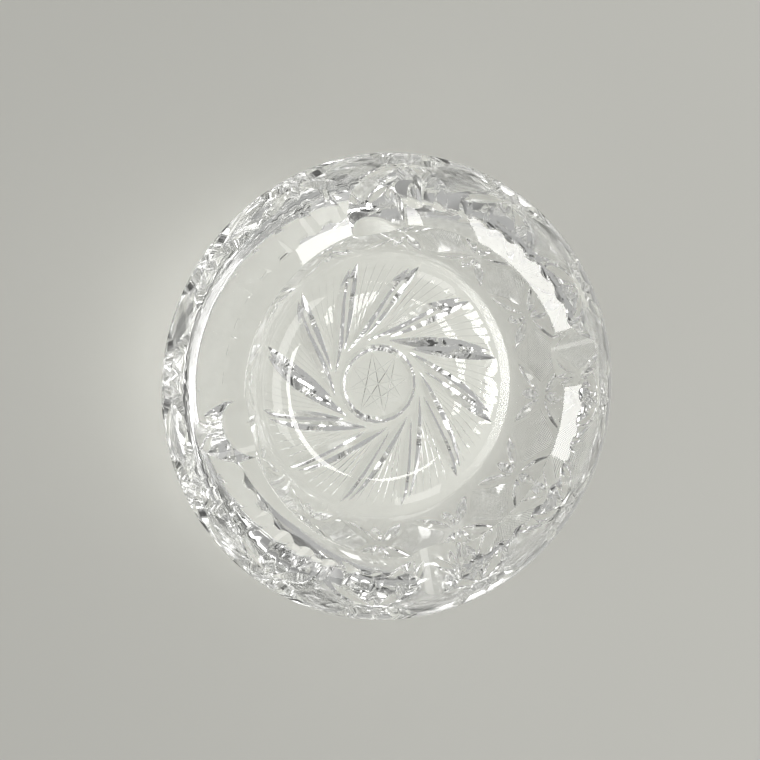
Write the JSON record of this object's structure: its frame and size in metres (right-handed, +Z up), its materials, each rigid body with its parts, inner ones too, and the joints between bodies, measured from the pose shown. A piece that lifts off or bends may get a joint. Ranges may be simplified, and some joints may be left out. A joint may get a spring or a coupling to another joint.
{
  "type": "cut crystal dish with four rests",
  "caption": "Low round dish of heavy clear cut crystal: thick wall with cut stars, fluted rim with rests, pinwheel cut under the base.",
  "frame": {"origin": "centre of the base, on the surface the dish stands on", "axes": "+Z up through the middle of the bowl; X and Y through the middles of the four rests"},
  "size_m": [0.15, 0.15, 0.0415],
  "materials": {
    "crystal": "polished clear lead crystal, bright wheel cuts"
  },
  "bodies": {
    "root": {"glass_dish": "crystal"}
  },
  "joints": []
}
